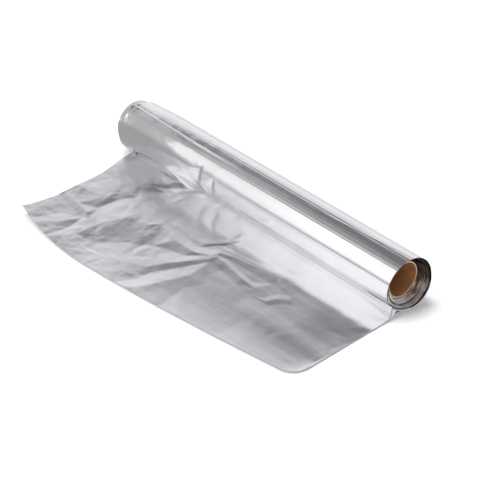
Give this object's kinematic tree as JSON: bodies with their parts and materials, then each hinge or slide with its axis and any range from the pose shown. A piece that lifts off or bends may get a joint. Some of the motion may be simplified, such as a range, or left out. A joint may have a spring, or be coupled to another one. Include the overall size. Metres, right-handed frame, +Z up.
{
  "type": "aluminium foil roll",
  "caption": "Roll of household aluminium foil wound on a cardboard core, with a creased length drawn out flat in front of the roll, ready to tear off.",
  "frame": {"origin": "on the table at the middle of the web's width, under the core's axis, where the roll rests", "axes": "+X along the core towards the near end, -Y the way the foil is drawn out, +Z up"},
  "size_m": [0.3105, 0.1646, 0.0424],
  "materials": {
    "core_board": "matt brown kraft board, pale at the cut rim",
    "foil": "bright rolled foil, mirror-like on the roll and satin where it is creased"
  },
  "bodies": {
    "root": {"core_tube": "core_board", "foil": "foil"}
  },
  "joints": []
}
